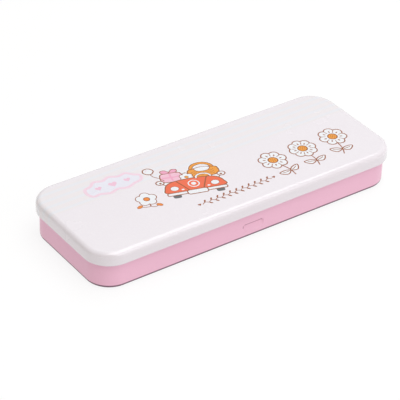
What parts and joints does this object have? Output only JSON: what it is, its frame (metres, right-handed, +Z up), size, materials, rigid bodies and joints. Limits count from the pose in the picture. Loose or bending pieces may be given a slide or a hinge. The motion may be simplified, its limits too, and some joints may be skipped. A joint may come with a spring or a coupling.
{
  "type": "hinged tin pencil case",
  "caption": "Flat hinged tinplate pencil case: a drawn tray with a thumb recess, a deep lid on two rear barrel hinges, and a compartment divider.",
  "frame": {"origin": "under the middle of the case's overall box, on the surface it stands on", "axes": "+X along the length, -Y towards the front with the thumb recess, +Z up"},
  "size_m": [0.213, 0.082, 0.025],
  "materials": {
    "base_paint": "satin",
    "lid_paint": "gloss",
    "hinge_steel": "satin",
    "pin_steel": "satin",
    "divider_tin": "satin"
  },
  "bodies": {
    "base": {"base_shell": "base_paint", "base_hinge_leaf_left": "hinge_steel", "base_hinge_leaf_right": "hinge_steel", "hinge_pin_left": "pin_steel", "hinge_pin_right": "pin_steel", "compartment_divider": "divider_tin"},
    "lid": {"lid_shell": "lid_paint", "lid_hinge_leaf_left": "hinge_steel", "lid_hinge_leaf_right": "hinge_steel"}
  },
  "joints": [
    {"name": "lid_hinge", "type": "hinge", "parent": "base", "child": "lid", "pos_m": [0, 0.04, 0.0154], "axis": [-1, 0, 0], "range_deg": [0, 180]}
  ]
}
